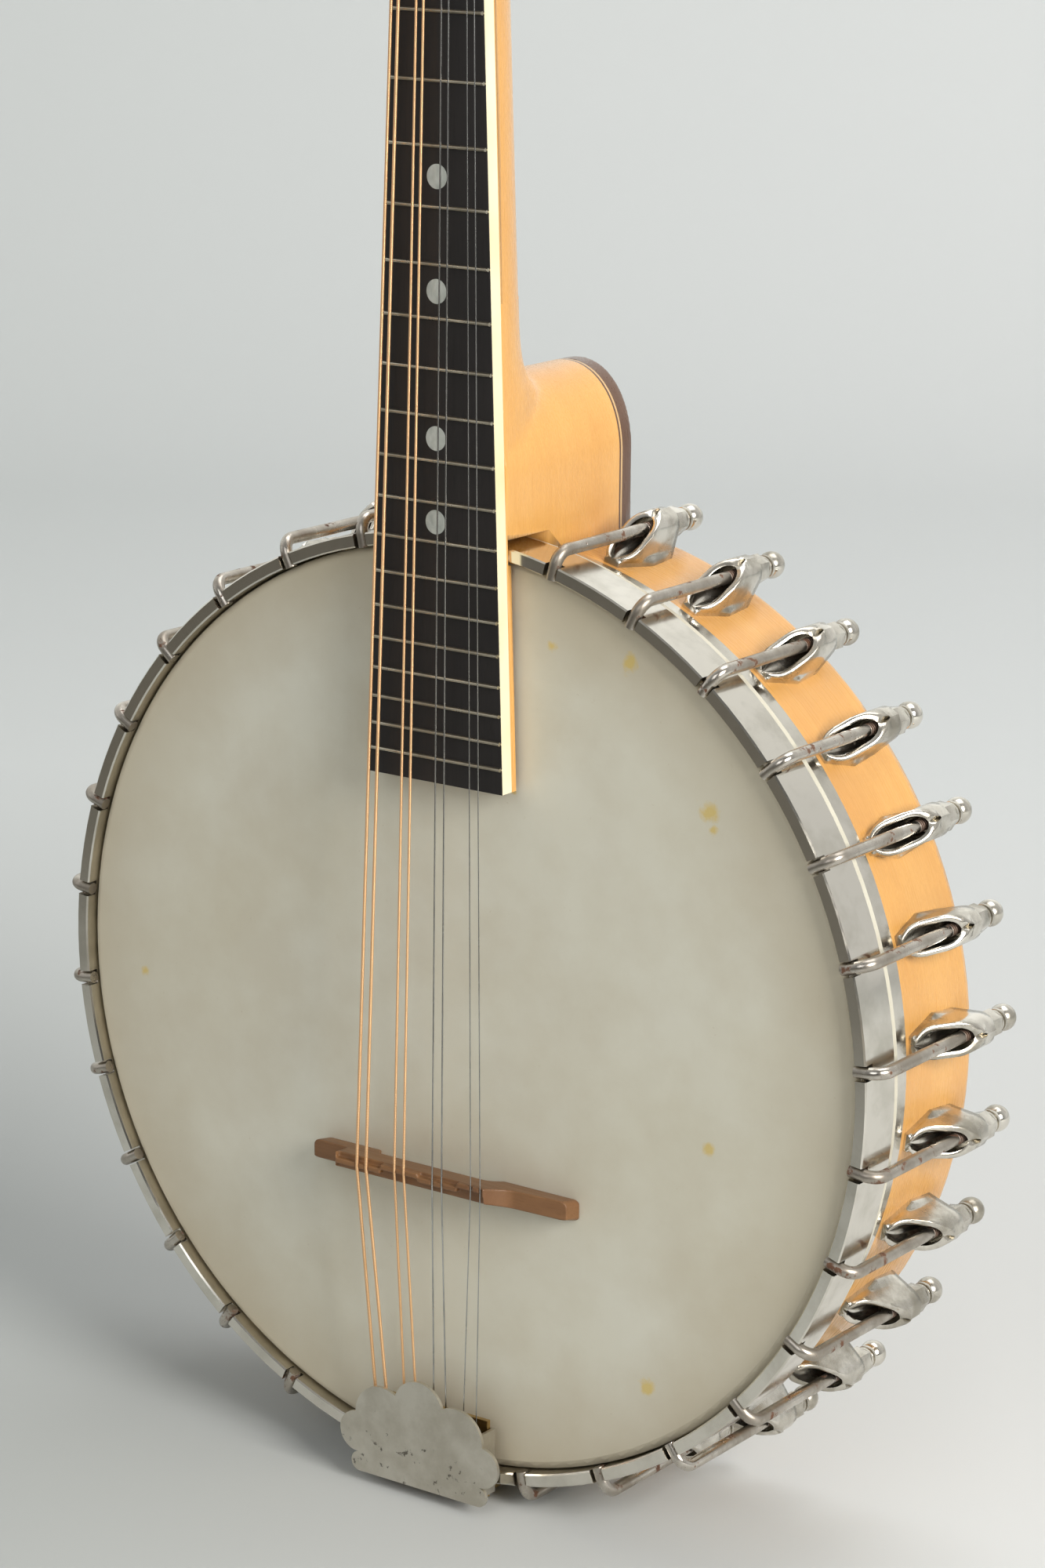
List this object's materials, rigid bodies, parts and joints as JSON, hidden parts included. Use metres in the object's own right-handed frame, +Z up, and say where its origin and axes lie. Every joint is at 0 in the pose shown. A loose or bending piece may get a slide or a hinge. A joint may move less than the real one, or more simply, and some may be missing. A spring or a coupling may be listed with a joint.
{
  "type": "banjo",
  "caption": "Small open-back banjo with a skin head, paired strings over a wooden bridge, a fretted neck and geared tuners, for plucking.",
  "frame": {"origin": "middle of the bounding box at the lowest plane, below the tail of the pot, on the neck's centre plane", "axes": "+Z up the neck from the tail to the head stock, +Y from the skin to the open back, +X to the right as seen from the front"},
  "size_m": [0.2821, 0.0794, 0.5696],
  "materials": {
    "maple_rim": "satin",
    "maple_neck": "satin",
    "ebony": "satin",
    "heel_brown": "satin",
    "heel_light": "satin",
    "dowel_maple": "matte",
    "bridge_wood": "satin",
    "calfskin": "satin",
    "nickel": "worn polish",
    "nickel_satin": "satin",
    "hook_steel": "worn",
    "brass": "worn",
    "steel": "satin",
    "fret_metal": "worn",
    "ivoroid": "satin",
    "pearl": "satin",
    "bone": "satin",
    "bronze_string": "wound",
    "plain_string": "polished"
  },
  "bodies": {
    "pot_and_neck": {"rim_shell": "maple_rim", "rim_band": "nickel", "tone_ring": "brass", "head_skin": "calfskin", "flesh_hoop": "brass", "tension_hoop": "nickel", "bracket_hooks": "hook_steel", "bracket_shoes": "nickel", "shoe_bolts": "steel", "shoe_washers": "steel", "bracket_nuts": "nickel", "neck": "maple_neck", "heel_cap": "heel_brown", "heel_light_line": "heel_light", "heel_dark_line": "heel_brown", "fingerboard": "ebony", "side_binding": "ivoroid", "frets": "fret_metal", "position_dots": "pearl", "string_nut": "bone", "peghead_veneer": "ebony", "dowel_stick": "dowel_maple", "brace_plate": "nickel_satin", "brace_pin": "steel", "end_bolt": "steel", "end_spacer": "brass", "tailpiece_base": "brass", "string_pegs": "brass", "bridge": "bridge_wood", "tuner_plate_left": "nickel_satin", "tuner_plate_right": "nickel_satin", "plate_screws": "steel", "post_bushings": "nickel_satin", "string_1": "bronze_string", "string_2": "bronze_string", "string_3": "bronze_string", "string_4": "bronze_string", "string_5": "plain_string", "string_6": "plain_string", "string_7": "plain_string", "string_8": "plain_string"},
    "tailpiece_cover": {"tailpiece_cover": "nickel_satin"},
    "post_1": {"post_1": "brass"},
    "key_1": {"key_1": "ivoroid"},
    "post_2": {"post_2": "brass"},
    "key_2": {"key_2": "ivoroid"},
    "post_3": {"post_3": "brass"},
    "key_3": {"key_3": "ivoroid"},
    "post_4": {"post_4": "brass"},
    "key_4": {"key_4": "ivoroid"},
    "post_5": {"post_5": "brass"},
    "key_5": {"key_5": "ivoroid"},
    "post_6": {"post_6": "brass"},
    "key_6": {"key_6": "ivoroid"},
    "post_7": {"post_7": "brass"},
    "key_7": {"key_7": "ivoroid"},
    "post_8": {"post_8": "brass"},
    "key_8": {"key_8": "ivoroid"}
  },
  "joints": [
    {"name": "cover_slide", "type": "slide", "parent": "pot_and_neck", "child": "tailpiece_cover", "axis": [0, 0, 1], "range_m": [0, 0.008]},
    {"name": "key_1_turn", "type": "hinge", "parent": "pot_and_neck", "child": "key_1", "pos_m": [-0.0358, -0.00438, 0.48271], "axis": [-1, 0, 0], "continuous": true},
    {"name": "post_1_turn", "type": "hinge", "parent": "pot_and_neck", "child": "post_1", "pos_m": [-0.0175, -0.02457, 0.47768], "axis": [0, 0.9781, -0.2079], "continuous": true},
    {"name": "key_2_turn", "type": "hinge", "parent": "pot_and_neck", "child": "key_2", "pos_m": [-0.0358, 0.0004, 0.50521], "axis": [-1, 0, 0], "continuous": true},
    {"name": "post_2_turn", "type": "hinge", "parent": "pot_and_neck", "child": "post_2", "pos_m": [-0.0175, -0.01979, 0.50018], "axis": [0, 0.9781, -0.2079], "continuous": true},
    {"name": "key_3_turn", "type": "hinge", "parent": "pot_and_neck", "child": "key_3", "pos_m": [-0.0358, 0.00518, 0.5277], "axis": [-1, 0, 0], "continuous": true},
    {"name": "post_3_turn", "type": "hinge", "parent": "pot_and_neck", "child": "post_3", "pos_m": [-0.0175, -0.01501, 0.52267], "axis": [0, 0.9781, -0.2079], "continuous": true},
    {"name": "key_4_turn", "type": "hinge", "parent": "pot_and_neck", "child": "key_4", "pos_m": [-0.0358, 0.00996, 0.5502], "axis": [-1, 0, 0], "continuous": true},
    {"name": "post_4_turn", "type": "hinge", "parent": "pot_and_neck", "child": "post_4", "pos_m": [-0.0175, -0.01022, 0.54517], "axis": [0, 0.9781, -0.2079], "continuous": true},
    {"name": "key_5_turn", "type": "hinge", "parent": "pot_and_neck", "child": "key_5", "pos_m": [0.0358, 0.00996, 0.5502], "axis": [1, 0, 0], "continuous": true},
    {"name": "post_5_turn", "type": "hinge", "parent": "pot_and_neck", "child": "post_5", "pos_m": [0.0175, -0.01022, 0.54517], "axis": [0, 0.9781, -0.2079], "continuous": true},
    {"name": "key_6_turn", "type": "hinge", "parent": "pot_and_neck", "child": "key_6", "pos_m": [0.0358, 0.00518, 0.5277], "axis": [1, 0, 0], "continuous": true},
    {"name": "post_6_turn", "type": "hinge", "parent": "pot_and_neck", "child": "post_6", "pos_m": [0.0175, -0.01501, 0.52267], "axis": [0, 0.9781, -0.2079], "continuous": true},
    {"name": "key_7_turn", "type": "hinge", "parent": "pot_and_neck", "child": "key_7", "pos_m": [0.0358, 0.0004, 0.50521], "axis": [1, 0, 0], "continuous": true},
    {"name": "post_7_turn", "type": "hinge", "parent": "pot_and_neck", "child": "post_7", "pos_m": [0.0175, -0.01979, 0.50018], "axis": [0, 0.9781, -0.2079], "continuous": true},
    {"name": "key_8_turn", "type": "hinge", "parent": "pot_and_neck", "child": "key_8", "pos_m": [0.0358, -0.00438, 0.48271], "axis": [1, 0, 0], "continuous": true},
    {"name": "post_8_turn", "type": "hinge", "parent": "pot_and_neck", "child": "post_8", "pos_m": [0.0175, -0.02457, 0.47768], "axis": [0, 0.9781, -0.2079], "continuous": true}
  ],
  "couplings": [
    {"joint": "post_1_turn", "follows": "key_1_turn", "ratio": 0.071429},
    {"joint": "post_2_turn", "follows": "key_2_turn", "ratio": 0.071429},
    {"joint": "post_3_turn", "follows": "key_3_turn", "ratio": 0.071429},
    {"joint": "post_4_turn", "follows": "key_4_turn", "ratio": 0.071429},
    {"joint": "post_5_turn", "follows": "key_5_turn", "ratio": -0.071429},
    {"joint": "post_6_turn", "follows": "key_6_turn", "ratio": -0.071429},
    {"joint": "post_7_turn", "follows": "key_7_turn", "ratio": -0.071429},
    {"joint": "post_8_turn", "follows": "key_8_turn", "ratio": -0.071429}
  ]
}
